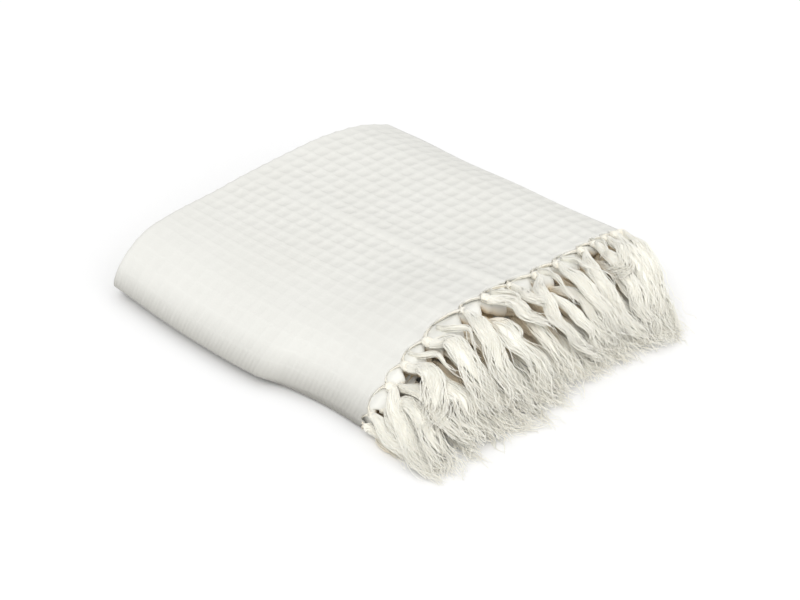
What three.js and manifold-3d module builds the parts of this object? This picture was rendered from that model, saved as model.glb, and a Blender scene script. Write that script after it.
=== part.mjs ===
// A woven cotton throw with a knotted fringe at both ends, folded and lying flat.
//
// The cloth is folded in four along its length, which brings both fringes to the +X end, and then in
// four across its width, round the tall spine at -Y. It is one sheet, followed ply by ply.
// Units are millimetres, +Z is up, and the origin is under the middle of the part.

import * as THREE from 'three';
import ManifoldModule from 'manifold-3d';

// Cloth
const SHEET = 2; // thickness of one ply
const PLIES = 4; // plies in one layer, from the folds along the length
const LAYERS = 4; // layers in the stack, from the folds across the width
const PILE = PLIES * LAYERS; // plies from floor to top
const FAR_END = -301; // x where the plies turn back at the far end, from the fringed edge at x = 0
const LENGTH_FOLD_REACH = 4; // how far a fold along the length stands past its plies
const EDGE_FOLD_REACH = 15; // how far the fold at +Y stands past its layers
const SPINE_START = -112; // y where the layers start to turn round the spine
const SPINE_SAG = 0.25; // height of the spine's widest point, as a share of the stack
const SPINE_SHOULDER = 1.3; // over 1 makes the spine's upper quarter leaner than an ellipse
const SPINE_FOOT = -150; // y to which the spine lies flat on the floor
const SPINE_STEPS = 8; // stops round the spine's outer turn
const FOOT_ANGLE = (Math.PI * SPINE_STEPS) / (SPINE_STEPS + 1); // where the outer turn meets the floor
const FOLD_STEPS = 5; // stops round the spine's inner turn and the fold at +Y
const LENGTH_FOLD_STEPS = 3; // steps round a fold along the length

// Fringe
const STRIP_GAP = 0.3; // clearance between the cloth's edge and the strip that the tassels grow from
const STRIP_WIDTH = 6;
const TASSEL_PITCH = 25;
const TASSEL_REACH = 104; // how far a tassel that lies on the floor reaches from the edge
const TOP_TASSEL_LOSS = 20; // how much less a tassel that falls from the top reaches
const FRINGE_TIP_HEIGHT = 16; // height of the heap of tassels at its tips
const CORNER_TIP_HEIGHT = 5; // the same at the spine, where only a few tassels lie
const DROOP_START = 28; // distance from the edge where the tassels start to fall
// Sway of the tips along the edge: those near the spine lean off its corner, and all waver a little
const LEAN = { most: -18, growth: 1.3, from: -150, to: 20 };
const WAVER = { wide: 6, wideLength: 38, fine: 3, fineLength: 19 };
const SPACING_WAVE = { most: 3, length: 17 }; // unevenness of the even rows' places along the edge
const REACH_WAVE = { most: 5, turn: 0.31, rowTurn: 9 }; // unevenness of their reach
const TILT_FADE = 45; // distance over which a tassel turns from its strip's slope to level

// Cross sections of the stack, from the far end to the fringed edge. The spine and the edge are the ends
// of the stack in y, and the other columns are heights of its top at the places in HEIGHT_PLACES.
const SECTIONS = [
  {
    x: -305, spine: -166, edge: 186,
    shoulder: 55, slope: 57, front: 58, crest: 61, back: 63, rear: 64, rim: 58, brink: 44,
  },
  {
    x: -200, spine: -172, edge: 181,
    shoulder: 50, slope: 54, front: 57, crest: 60, back: 60, rear: 60, rim: 57, brink: 45,
  },
  {
    x: -100, spine: -169, edge: 176,
    shoulder: 48, slope: 53, front: 58, crest: 60, back: 59, rear: 58, rim: 57, brink: 49,
  },
  {
    x: -50, spine: -159, edge: 174,
    shoulder: 47, slope: 56, front: 63, crest: 64, back: 60, rear: 58, rim: 57, brink: 50,
  },
  {
    x: 0, spine: -156, edge: 172,
    shoulder: 47, slope: 59, front: 67, crest: 68, back: 61, rear: 58, rim: 56, brink: 51,
  },
];
const HEIGHT_PLACES = {
  shoulder: SPINE_START, slope: -84, front: -50, crest: -10, back: 45, rear: 100, rim: 145,
};

// How far each layer stops short of the stack's edge at +Y, and of its far end.
const LAYER_ENDS = [
  { short: 0, farShort: 0 },
  { short: 4, farShort: 5 },
  { short: EDGE_FOLD_REACH + 1, farShort: 2 },
  { short: EDGE_FOLD_REACH + 1, farShort: 4 },
];

// Places along a layer from the spine to the edge, and along a ply from the fringed edge to the far end.
const ALONG_LAYER = [0, 0.1, 0.24, 0.4, 0.58, 0.76, 0.9, 1];
const ALONG_TOP_PLY = [0, 0.09, 0.18, 0.3, 0.45, 0.62, 0.82, 1];
const ALONG_PLY = [0, 0.17, 0.4, 0.7, 1];

// Sections of a tassel. Those up to the waist are at a distance from the edge in millimetres, and those of
// the lock are at a share of its length.
const KNOT_SECTIONS = [
  { from: 3.5, width: 5, thick: 1.2 },
  { from: 8, width: 7, thick: 5 },
  { from: 11.5, width: 9.4, thick: 6.4 },
  { from: 15, width: 5.5, thick: 4 },
];
const LOCK_SECTIONS = [
  { share: 0.3, width: 8, thick: 4.6 },
  { share: 0.65, width: 6.4, thick: 3.6 },
  { share: 1, width: 4, thick: 2 },
];

// Rows of tassels: the fringe and layer they hang from, and their places along the edge, or else the offset
// of an even row in pitches.
const TASSEL_ROWS = [
  { fringe: 0, layer: 0, places: [-111, -90, -46, -18, 13, 52, 70, 93, 116, 146] },
  { fringe: 1, layer: 0, offset: 0 },
  { fringe: 1, layer: 1, offset: 0.5 },
  { fringe: 0, layer: 1, offset: 0 },
  { fringe: 0, layer: 2, offset: 0.5 },
  { fringe: 1, layer: 2, offset: 0 },
  { fringe: 1, layer: 3, offset: 0.5 },
  { fringe: 0, layer: 3, offset: 0 },
];
const FIRST_TASSEL = -104; // of an even row
const LAST_TASSEL_MARGIN = 5; // least distance from the last tassel of an even row to its layer's end
const SPINE_TASSEL_ANGLES = [0.5, 1.0, 2.85, 3.02]; // round the spine, from its top

const CLOTH_COLOUR = 0xeeeee6;
const FRINGE_COLOUR = 0xf1f1e4;

const { lerp, clamp, smoothstep } = THREE.MathUtils;

// The stack's section at x
const columns = ['spine', 'edge', ...Object.keys(HEIGHT_PLACES), 'brink'];
const lengthwise = new THREE.CubicInterpolant(
  SECTIONS.map((row) => row.x),
  SECTIONS.flatMap((row) => columns.map((name) => row[name])),
  columns.length,
);

function sectionAt(x) {
  const [spine, edge, ...heights] = Array.from(lengthwise.evaluate(x));
  const across = new THREE.CubicInterpolant([...Object.values(HEIGHT_PLACES), edge], heights, 1);
  const top = (y) => across.evaluate(y)[0];
  return { spine, edge, top, slope: top(SPINE_START + 1) - top(SPINE_START) };
}

// Depth of a ply in the stack, in plies from the top. The layers lie turned over by the folds between them.
function depthOf(layer, ply) {
  const half = PILE / 2;
  return [ply, half - ply, half + ply, PILE - ply][layer];
}

function heightOf(section, y, depth) {
  const share = (PILE - 0.5 - depth) / (PILE - 1);
  return SHEET / 2 + share * (section.top(y) - SHEET);
}

// Points on the middle of a ply, as y and z in a section. A ply is counted from 0.5, the outermost, and a
// value between two plies lies in the fold that joins them.
function layerPoint(section, layer, along, ply) {
  const y = lerp(SPINE_START, section.edge - LAYER_ENDS[layer].short, along);
  return new THREE.Vector2(y, heightOf(section, y, depthOf(layer, ply)));
}

function spinePoint(section, distance, angle) {
  const top = section.top(SPINE_START);
  const core = top / 2;
  const widest = top * SPINE_SAG;
  const reach = SPINE_START - section.spine;
  const size = ((1 - SHEET / top) * distance) / (PILE / 2 - 0.5);
  const out = Math.sin(angle);
  const up = Math.cos(angle);
  if (up > 0) {
    const z = widest + (top - widest) * up ** SPINE_SHOULDER - section.slope * reach * out * up;
    return new THREE.Vector2(SPINE_START - size * reach * out, core + size * (z - core));
  }
  const rise = Math.max(0, 1 - up / Math.cos(FOOT_ANGLE));
  const foot = (SPINE_START - SPINE_FOOT) * Math.min(1, out / Math.sin(FOOT_ANGLE));
  const y = SPINE_START - size * lerp(foot, reach, Math.sqrt(rise));
  return new THREE.Vector2(y, core + size * (widest * rise - core));
}

function edgeFoldPoint(section, ply, angle) {
  const y = section.edge - LAYER_ENDS[2].short;
  const radius = PLIES - ply;
  const middle = (depthOf(2, 0) + depthOf(3, 0)) / 2;
  const z = heightOf(section, y, middle + radius * Math.cos(angle));
  return new THREE.Vector2(y + (EDGE_FOLD_REACH * radius * Math.sin(angle)) / PLIES, z);
}

// The path of the sheet across its width: the top layer, round the spine to the bottom layer, back over the
// fold at +Y, and round the inner turn of the spine. Each stop gives a point of a ply in a section.
function turnStops(count, point, farFrom, farTo) {
  return Array.from({ length: count }, (_, i) => {
    const share = (i + 1) / (count + 1);
    const farShort = lerp(farFrom, farTo, share);
    return { at: (section, ply) => point(section, ply, share * Math.PI), farShort };
  });
}

function layerStops(layer, inward) {
  const places = inward ? ALONG_LAYER.toReversed() : ALONG_LAYER;
  const { farShort } = LAYER_ENDS[layer];
  return places.map((along) => ({ at: (section, ply) => layerPoint(section, layer, along, ply), farShort }));
}

const far = LAYER_ENDS.map((end) => end.farShort);
const outerTurn = (section, ply, angle) => spinePoint(section, PILE / 2 - ply, angle);
const innerTurn = (section, ply, angle) => spinePoint(section, ply, Math.PI - angle);
const STOPS = [
  ...layerStops(0, true),
  ...turnStops(SPINE_STEPS, outerTurn, far[0], far[3]),
  ...layerStops(3, false),
  ...turnStops(FOLD_STEPS, edgeFoldPoint, far[3], far[2]),
  ...layerStops(2, true),
  ...turnStops(FOLD_STEPS, innerTurn, far[2], far[1]),
  ...layerStops(1, false),
];

// The middle of a ply at one section with the sheet's normal at each stop, which points to the outer ply
function plyLine(section, ply) {
  const line = STOPS.map((stop) => stop.at(section, ply));
  const last = line.length - 1;
  return line.map((point, i) => {
    const ahead = line[Math.min(i + 1, last)].clone().sub(point).normalize();
    const behind = point.clone().sub(line[Math.max(i - 1, 0)]).normalize();
    const along = ahead.add(behind).normalize();
    return { point, normal: new THREE.Vector2(along.y, -along.x) };
  });
}

// A closed mesh through rings of equally many points. A ring's points pair up first with last, second with
// last but one and so on, which closes the two ends.
function loft(rings) {
  const around = rings[0].length;
  const positions = rings.flat().flatMap((point) => point.toArray());
  const triangles = [];
  for (let ring = 0; ring + 1 < rings.length; ring += 1) {
    for (let i = 0; i < around; i += 1) {
      const [a, b] = [i, (i + 1) % around].map((place) => ring * around + place);
      triangles.push(a, b, b + around, a, b + around, a + around);
    }
  }
  const end = (rings.length - 1) * around;
  for (let i = 0; i + 1 < around / 2; i += 1) {
    const [a, b, c, d] = [i, i + 1, around - 2 - i, around - 1 - i];
    triangles.push(a, c, b, a, d, c);
    triangles.push(end + a, end + b, end + c, end + a, end + c, end + d);
  }
  return { positions, triangles };
}

function geometryOf({ positions, triangles }) {
  const geometry = new THREE.BufferGeometry();
  geometry.setAttribute('position', new THREE.Float32BufferAttribute(positions, 3));
  geometry.setIndex(triangles);
  geometry.computeVertexNormals();
  return geometry;
}

// The cloth. Its outline along the length is a ribbon of four plies joined by three folds, given as the
// points of one side: x, the ply, and how far the sheet's face stands off its middle, up and outwards.
function clothSide(side) {
  const points = [];
  for (let i = 0; i < PLIES; i += 1) {
    const turn = i % 2 === 0 ? 1 : -1;
    const lift = side * turn * (SHEET / 2);
    const places = i === 0 ? ALONG_TOP_PLY : ALONG_PLY;
    const ordered = turn > 0 ? places : places.toReversed();
    points.push(...ordered.map((share) => ({ share, ply: i + 0.5, lift, out: 0 })));
    for (let step = 1; step < LENGTH_FOLD_STEPS && i + 1 < PLIES; step += 1) {
      const angle = (step / LENGTH_FOLD_STEPS) * Math.PI;
      const share = turn > 0 ? 1 : 0;
      const ply = i + 1 - Math.cos(angle) / 2;
      const out = -turn * Math.sin(angle) * (LENGTH_FOLD_REACH + lift);
      points.push({ share, ply, lift: lift * Math.cos(angle), out });
    }
  }
  return points;
}

function clothMesh() {
  const outline = [...clothSide(1), ...clothSide(-1).toReversed()];
  const lines = outline.map((place) => plyLine(sectionAt(place.share * FAR_END), place.ply));
  const rings = STOPS.map((stop, i) => outline.map((place, j) => {
    const { point, normal } = lines[j][i];
    const x = place.share * (FAR_END + stop.farShort) + place.out;
    return new THREE.Vector3(x, point.x + normal.x * place.lift, point.y + normal.y * place.lift);
  }));
  return loft(rings);
}

// The fringe. Each of the two is a narrow strip along one end of the cloth, with its knotted tassels.
const edgeSection = sectionAt(0);

function stripMesh(ply) {
  const line = plyLine(edgeSection, ply);
  const inner = STRIP_GAP;
  const outer = STRIP_GAP + STRIP_WIDTH;
  const rings = line.map(({ point, normal }) => {
    const corner = (x, lift) => new THREE.Vector3(x, point.x + normal.x * lift, point.y + normal.y * lift);
    const half = SHEET / 2;
    return [corner(inner, half), corner(inner, -half), corner(outer, -half), corner(outer, half)];
  });
  return loft(rings);
}

// A root is where a tassel leaves its strip: y, z, the strip's slope there, the heights of the stack and of
// the heap's tips at that place, and the share of those heights at which the tassel lies.
function layerRoot(layer, ply, y) {
  const depth = depthOf(layer, ply);
  const z = heightOf(edgeSection, y, depth);
  const tilt = Math.atan(heightOf(edgeSection, y + 0.5, depth) - heightOf(edgeSection, y - 0.5, depth));
  const share = (PILE - 0.5 - depth) / (PILE - 1);
  return { y, z, tilt, stack: edgeSection.top(y), tip: FRINGE_TIP_HEIGHT, share };
}

function spineRoot(ply, angle) {
  const step = 0.02;
  const place = (turn) => spinePoint(edgeSection, PILE / 2 - ply, angle + turn);
  const [before, here, after] = [-step, 0, step].map(place);
  const tilt = Math.atan((before.y - after.y) / (before.x - after.x));
  const share = angle < Math.PI / 2 ? 1 : 0;
  return { y: here.x, z: here.y, tilt, stack: here.y + SHEET / 2, tip: CORNER_TIP_HEIGHT, share };
}

// Neighbours lean and waver alike, so that they never cross.
function swayAt(y, from) {
  const share = clamp(from / TASSEL_REACH, 0, 1);
  const lean = LEAN.most * (1 - smoothstep(y, LEAN.from, LEAN.to)) * share ** LEAN.growth;
  const wide = WAVER.wide * share * Math.sin(y / WAVER.wideLength);
  const fine = WAVER.fine * share ** 2 * Math.sin(y / WAVER.fineLength);
  return lean + wide + fine;
}

function heapHeight({ stack, tip }, from) {
  const share = clamp((from - DROOP_START) / (TASSEL_REACH - DROOP_START), 0, 1);
  const droop = (1 + Math.cos(share * Math.PI)) / 2;
  return lerp(tip, stack, droop);
}

function tasselMesh(root) {
  const waist = KNOT_SECTIONS.at(-1).from;
  const unevenness = REACH_WAVE.most * Math.sin(root.y * REACH_WAVE.turn + root.share * REACH_WAVE.rowTurn);
  const loss = TOP_TASSEL_LOSS * root.share * (root.stack / edgeSection.top(HEIGHT_PLACES.crest));
  const reach = TASSEL_REACH - loss + unevenness;
  const sections = [
    ...KNOT_SECTIONS,
    ...LOCK_SECTIONS.map((row) => ({ ...row, from: lerp(waist, reach, row.share) })),
  ];
  const rings = sections.map(({ from, width, thick }) => {
    const freed = smoothstep(from, STRIP_WIDTH, KNOT_SECTIONS[1].from);
    const tilt = root.tilt * (1 - smoothstep(from, STRIP_WIDTH, TILT_FADE));
    const half = (Math.abs(Math.sin(tilt)) * width + Math.cos(tilt) * thick) / 2;
    const hung = half + root.share * (heapHeight(root, from) - 2 * half);
    const z = lerp(root.z, hung, freed);
    const y = root.y + swayAt(root.y, from);
    const sides = [[-1, 1], [-1, -1], [1, -1], [1, 1]];
    return sides.map(([across, up]) => {
      const corner = new THREE.Vector2((across * width) / 2, (up * thick) / 2);
      corner.rotateAround(new THREE.Vector2(), tilt);
      return new THREE.Vector3(from, y + corner.x, z + corner.y);
    });
  });
  return loft(rings);
}

function evenPlaces({ layer, offset }) {
  const places = [];
  const last = edgeSection.edge - LAYER_ENDS[layer].short - LAST_TASSEL_MARGIN;
  for (let y = FIRST_TASSEL + offset * TASSEL_PITCH; y < last; y += TASSEL_PITCH) {
    places.push(y + SPACING_WAVE.most * Math.sin(y / SPACING_WAVE.length));
  }
  return places;
}

function tasselRoots(fringe, ply) {
  const roots = [];
  for (const row of TASSEL_ROWS.filter((one) => one.fringe === fringe)) {
    const places = row.places ?? evenPlaces(row);
    roots.push(...places.map((y) => layerRoot(row.layer, ply, y)));
  }
  if (fringe === 0) {
    roots.push(...SPINE_TASSEL_ANGLES.map((angle) => spineRoot(ply, angle)));
  }
  return roots;
}

const manifold = await ManifoldModule();
manifold.setup();

function solidOf({ positions, triangles }) {
  const mesh = new manifold.Mesh({
    numProp: 3,
    vertProperties: new Float32Array(positions),
    triVerts: new Uint32Array(triangles),
  });
  return new manifold.Manifold(mesh);
}

function fringeMesh(fringe) {
  const ply = fringe === 0 ? 0.5 : PLIES - 0.5;
  let solid = solidOf(stripMesh(ply));
  for (const root of tasselRoots(fringe, ply)) {
    solid = solid.add(solidOf(tasselMesh(root)));
  }
  const mesh = solid.getMesh();
  return { positions: Array.from(mesh.vertProperties), triangles: Array.from(mesh.triVerts) };
}

function addPiece(group, name, mesh, colour) {
  const material = new THREE.MeshStandardMaterial({ color: colour, roughness: 0.95, metalness: 0 });
  const piece = new THREE.Mesh(geometryOf(mesh), material);
  piece.name = name;
  group.add(piece);
}

const foldedThrow = new THREE.Group();
addPiece(foldedThrow, 'throw_cloth', clothMesh(), CLOTH_COLOUR);
addPiece(foldedThrow, 'fringe_outer', fringeMesh(0), FRINGE_COLOUR);
addPiece(foldedThrow, 'fringe_inner', fringeMesh(1), FRINGE_COLOUR);

// The origin is under the middle of the whole part.
const middle = new THREE.Box3().setFromObject(foldedThrow).getCenter(new THREE.Vector3());
foldedThrow.position.set(-middle.x, -middle.y, 0);

export default foldedThrow;
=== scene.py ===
"""A folded waffle-weave cotton throw with two knotted fringes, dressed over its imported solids.

The cloth is one sheet, followed ply by ply through its folds, with its waffle cells as real relief. The
fringes are yarns, gathered into knots along the cloth's two ends. Lengths are millimetres until a mesh is
made. In plan, x runs from the far end over the fringed edge at 0 to the fringes' tips, and y runs from the
spine to the open side. The floor is at z = 0.
"""
from math import cos, pi, radians, sin
from types import SimpleNamespace as Values

import bpy
import numpy as np
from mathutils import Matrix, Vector


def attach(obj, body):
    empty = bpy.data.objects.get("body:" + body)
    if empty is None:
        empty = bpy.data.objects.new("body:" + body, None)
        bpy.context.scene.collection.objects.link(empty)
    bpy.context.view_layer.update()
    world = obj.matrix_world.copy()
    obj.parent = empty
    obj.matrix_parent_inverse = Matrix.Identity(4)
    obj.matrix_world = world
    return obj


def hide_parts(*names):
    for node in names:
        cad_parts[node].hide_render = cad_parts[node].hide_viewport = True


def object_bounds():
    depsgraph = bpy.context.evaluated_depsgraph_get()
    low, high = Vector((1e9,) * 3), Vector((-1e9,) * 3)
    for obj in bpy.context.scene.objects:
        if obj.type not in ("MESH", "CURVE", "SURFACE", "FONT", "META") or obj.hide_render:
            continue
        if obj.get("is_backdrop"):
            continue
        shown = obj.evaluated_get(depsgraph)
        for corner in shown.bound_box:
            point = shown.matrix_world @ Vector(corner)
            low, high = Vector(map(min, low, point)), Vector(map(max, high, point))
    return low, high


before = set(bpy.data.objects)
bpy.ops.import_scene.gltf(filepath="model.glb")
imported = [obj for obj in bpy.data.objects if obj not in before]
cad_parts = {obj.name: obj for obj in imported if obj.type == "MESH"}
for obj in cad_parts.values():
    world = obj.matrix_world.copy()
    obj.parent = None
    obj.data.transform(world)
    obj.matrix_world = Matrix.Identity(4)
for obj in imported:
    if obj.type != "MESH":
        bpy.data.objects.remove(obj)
cad_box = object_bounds()

MM = 0.001
ORIGIN = Vector((0.098165, -0.008153, 0.0))  # the place of x = 0, y = 0 in the part's frame, in metres
rng = np.random.default_rng(11)

# Cloth, with the folds of the solids
SHEET = 2  # thickness in the solids
THICKNESS = 2.6  # of the sheet with its relief
PLIES = 4  # in a layer
PILE = 16  # plies in the stack
FAR_END = -301
LENGTH_FOLD_REACH = 4
EDGE_FOLD_REACH = 15
SPINE_START = -112
SPINE_SAG = 0.25
SPINE_SHOULDER = 1.3
SPINE_FOOT = -150
FOOT_ANGLE = pi * 8 / 9
HEIGHT_PLACES = (SPINE_START, -84, -50, -10, 45, 100, 145)
# Sections of the stack: x, spine, edge, then heights of the top at HEIGHT_PLACES and at the edge
SECTIONS = (
    (-305, -166, 186, 55, 57, 58, 61, 63, 64, 58, 44),
    (-200, -172, 181, 50, 54, 57, 60, 60, 60, 57, 45),
    (-100, -169, 176, 48, 53, 58, 60, 59, 58, 57, 49),
    (-50, -159, 174, 47, 56, 63, 64, 60, 58, 57, 50),
    (0, -156, 172, 47, 59, 67, 68, 61, 58, 56, 51),
)
LAYER_SHORT = (0, 4, 16, 16)  # how far each layer stops short of the stack's edge
FAR_SHORT = (0, 5, 2, 4)  # and of its far end
OUTER_PLY = 0.5
INNER_PLY = PLIES - 0.5

# Forms of the cloth that the solids leave out
SPINE_DENT = Values(x=(-110, -84), out=4, inward=2.5, end=-40)  # a step along the spine's foot
# Waves along the open edges of the two upper layers: height, length, and the turn by ply and by layer
SELVEDGE_WAVES = ((1.4, 43, 2.1, 1), (0.9, 19, 4, 0))
SELVEDGE_BACK = 1.2
TOP_WAVES = Values(height=0.7, one=(41, 90), other=(-120, 53))  # with lengths along x and y

# Weave
CELLS_ALONG = 22  # waffle cells along x
CELLS_ACROSS = 20  # and across the top
CELL_SAMPLES = 7  # points along a cell
CELL_DEPTH = 1.55
ROUNDNESS = 0.65  # below 1 makes the ribs between the hollows narrower
RIB_LIFT = 0.4  # how far the ribs stand out from the plain cloth, of CELL_DEPTH
CELL_SHIFT = Values(most=0.05, along=0.6, across=1.9)  # of the columns, in cells and radians per cell
CELL_WAVE = Values(most=0.25, along=1.7, across=2.3)  # of the hollows' depth
FRONT = Values(rows=(11, 19), share=0.5)  # rows near the spine, where the columns show less
SPINE_RELIEF = 0.36  # of the relief on top, where the cloth is pulled round the spine
FAR_RELIEF = 0.6  # and at the far end
FAR_FADE = 18
ROW_DRIFT = 0.06  # how far the rows in the middle of the top drift to the spine, per length
BAND = 9  # width of the plain band along an edge, where the relief fades
FADES = Values(edge=1 / 3, spine=12, floor=3)  # lengths over which it fades elsewhere, in bands
ROW_RIPPLES = ((1.3, 71, 0), (0.6, 29, 2))  # height, length and start of the waves that the rows run in
COLUMN_RIPPLES = ((0.9, 57, 1), (0.5, 23, 0))  # and the columns
RIPPLE_START = 60  # distance from the fringed edge where those are full
# The crease along the middle of the top: its ring, its height, its reach in rings to both sides, where it
# rises, and how much and how wide it flattens the relief
CREASE = Values(ring=11 * CELL_SAMPLES + 2, height=2.8, back=8, front=1.2, rise=(-300, -20))
CREASE_FLAT = Values(share=0.75, width=2.2)

# Fringe, as in the solids but for TOP_TASSEL_LOSS and the open corner
TASSEL_REACH = 104
TOP_TASSEL_LOSS = 12  # of reach, for the tassels that fall from the top
TIP_HEIGHT = 16
CORNER_TIP_HEIGHT = 5
DROOP_START = 28
TASSEL_PITCH = 25
FIRST_TASSEL = -104
LAST_TASSEL_MARGIN = 5
SPACING_WAVE = Values(most=3, length=17)
OPEN_CORNER = (90, 160)  # where the heap falls off at the open side
CORNER_REACH = 9  # how much further the tassels reach there
# How far tips lean to the spine near it and at the open corner, from none at one y to the most at another
LEANS = ((-18, (20, -150)), (-24, (115, 165)))
LEAN_GROWTH = 1.3

# The tassels that show. Those on top: the y of the knot, the lock's width, how far it arches
# up off the heap, where along it the yarns part, and its route in plan
TOP_ROW = (
    (-111, 15, 5, 0.62, ((20, -107), (38, -111), (51, -121), (54, -133), (48, -144))),
    (-86, 17, 3, 0.48, ((20, -76), (41, -79), (60, -83), (84, -80))),
    (-43, 14, 5, 0.48, ((25, -46), (44, -54), (62, -57), (86, -57))),
    (-17, 11, 3, 0.48, ((20, -9), (34, -5), (46, -3), (60, 14))),
    (15, 8, 3, 0.48, ((20, 17), (33, 10), (39, 16), (45, 30))),
    (48, 10, 4, 0.48, ((27, 32), (43, 23), (62, 22), (90, 41))),
    (77, 13, 5, 0.48, ((26, 73), (49, 72), (66, 73), (102, 80))),
    (111, 11, 2, 0.48, ((24, 102), (44, 91), (61, 89), (92, 84))),
    (129, 13, 0, 0.48, ((26, 126), (56, 122), (78, 115), (113, 103))),
    (145, 10, 5, 0.66, ((24, 142), (41, 133), (49, 121), (45, 104))),
    (158, 13, 2, 0.48, ((34, 147), (52, 141), (74, 132), (112, 113))),
    (168, 12, 4, 0.48, ((32, 162), (50, 154), (72, 144), (104, 130))),
)
# Those round the spine: the fringe, the knot's angle from the top, the share of the heap's height where the
# lock lies, and its route
SPINE_ROW = (
    (0, 0.42, 1, ((20, -137), (34, -143), (47, -149), (66, -154), (99, -156))),
    (0, 1.08, 1, ((21, -151), (39, -154), (55, -156), (70, -158))),
    (1, 0.35, 0.92, ((30, -117), (56, -121), (72, -119), (94, -120))),
    (1, 0.9, 0.92, ((28, -128), (56, -136), (76, -141), (98, -148))),
    (1, 1.3, 0.8, ((26, -143), (48, -149), (68, -153), (92, -155))),
    (0, 1.75, 0, ((24, -148), (44, -151), (66, -153))),
    (0, 2.85, 0, ((25, -152), (55, -150), (92, -148))),
    (0, 3.02, 0, ((25, -138), (55, -134), (96, -130))),
)
SPINE_ROW_WIDTH = 14
# Loose ends that come out between the knots: the y where they start, and their route
WISPS = (
    (0, ((14, 2), (26, 6), (36, 0), (50, -10))),
    (62, ((14, 62), (26, 56), (38, 50), (56, 52))),
    (137, ((13, 136), (24, 128), (30, 118), (42, 112))),
    (-66, ((14, -66), (27, -60), (40, -66), (58, -74))),
    (-99, ((14, -98), (26, -92), (42, -96), (60, -90))),
    (94, ((14, 95), (26, 90), (38, 96), (56, 102))),
)
WISP = {"width": 1.7, "arch": 4, "start": -1}
# The second row hangs from the inner edge. Those without a route lie deep between the others, and some knots
# lie further out on the heap.
SECOND_ROW = (
    {"y": -99, "route": ((30, -101), (45, -104), (62, -102), (90, -107)), "width": 16},
    {"y": -72},
    {"y": -50},
    {"y": -27, "route": ((40, -25), (52, -28), (66, -23), (94, -21)), "width": 18},
    {"y": 2},
    {"y": 38, "out": 26, "route": ((52, 45), (66, 50), (94, 53)), "width": 11},
    {"y": 60, "route": ((29, 61), (46, 65), (62, 65), (92, 65)), "width": 11},
    {"y": 94, "out": 34, "route": ((60, 92), (76, 92), (106, 94)), "width": 12},
    {"y": 124},
    {"y": 152, "route": ((28, 152), (50, 149), (74, 143), (108, 128)), "width": 12},
)
# The other rows are even: the fringe and the layer they hang from, and their offset in pitches
EVEN_ROWS = ((1, 1, 0.5), (0, 1, 0), (0, 2, 0.5), (1, 2, 0), (1, 3, 0.5), (0, 3, 0))
EVEN_ROW_WIDTH = 12
SECOND_ROW_HANG = 6  # how far the knots of the second row hang below their edge
SHOWN_SINK = 0.96  # of the heap's height, where the shown locks of the second row lie
DEEP_SINK = 0.84  # and those without a route
EVEN_SINK = 0.84  # of their own height, where the even rows lie
RECESS = Values(share=0.84, x=(28, 58))  # of the heap's height behind the shown knots, and where it fills up


def curve_through(places, values, at):
    """A smooth curve through values at places, level past both ends."""
    places = np.asarray(places, float)
    values = np.asarray(values, float)
    at = np.clip(at, places[0], places[-1])
    chords = np.diff(values) / np.diff(places)
    slopes = np.concatenate([chords[:1], (chords[1:] + chords[:-1]) / 2, chords[-1:]])
    i = np.clip(np.searchsorted(places, at, side="right") - 1, 0, len(places) - 2)
    span = places[i + 1] - places[i]
    p = (at - places[i]) / span
    ends = values[i] * (1 + 2 * p) * (1 - p) ** 2 + values[i + 1] * p**2 * (3 - 2 * p)
    return ends + span * (slopes[i] * p * (1 - p) ** 2 + slopes[i + 1] * p**2 * (p - 1))


def smoothstep(value, low, high):
    share = np.clip((value - low) / (high - low), 0, 1)
    return share**2 * (3 - 2 * share)


def mix(a, b, share):
    return a + (b - a) * share


def bell(distance, width):
    return np.exp(-((distance / width) ** 2))


def ripples(at, waves):
    """The sum of waves along a distance, each with its height, length and start."""
    return sum(height * np.sin(at / length + start) for height, length, start in waves)


def unit(vectors):
    return vectors / np.maximum(np.linalg.norm(vectors, axis=-1, keepdims=True), 1e-9)


def path_distance(path):
    return np.concatenate([[0], np.cumsum(np.linalg.norm(np.diff(path, axis=0), axis=1))])


def depth_of(layer, ply):
    """Depth of a ply in the stack, in plies from the top."""
    half = PILE / 2
    return (ply, half - ply, half + ply, PILE - ply)[layer]


def height_share(depth):
    """The share of the stack's height that a ply at that depth lies at."""
    return (PILE - 0.5 - depth) / (PILE - 1)


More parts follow.
